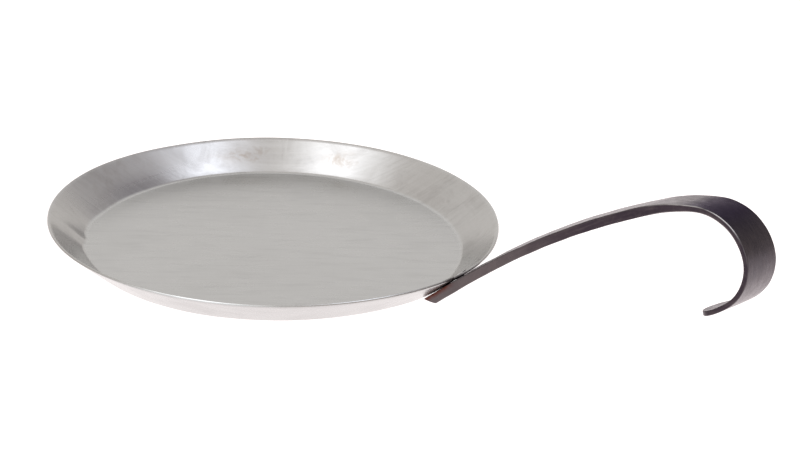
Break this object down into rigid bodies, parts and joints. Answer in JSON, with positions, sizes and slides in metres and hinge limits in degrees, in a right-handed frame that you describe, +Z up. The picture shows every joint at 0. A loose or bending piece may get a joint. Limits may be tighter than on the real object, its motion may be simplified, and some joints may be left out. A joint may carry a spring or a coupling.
{
  "type": "frying pan",
  "caption": "Shallow round steel pan with a flared wall and an upswept flat-bar handle that ends in a hook, held by rivets.",
  "frame": {"origin": "centre of the underside of the flat base", "axes": "+Z up from the surface the pan stands on, +X out of the dish along the handle, +Y completes a right-handed frame"},
  "size_m": [0.4969, 0.3, 0.1102],
  "materials": {
    "satin_steel": "satin, faint brushing and mild heat tarnish",
    "forge_black": "dark forge scale, worn bright on the edges",
    "rivet_steel": "dull hammered steel"
  },
  "bodies": {
    "root": {"dish": "satin_steel", "handle": "forge_black", "rivet_1": "rivet_steel", "rivet_2": "rivet_steel"}
  },
  "joints": []
}
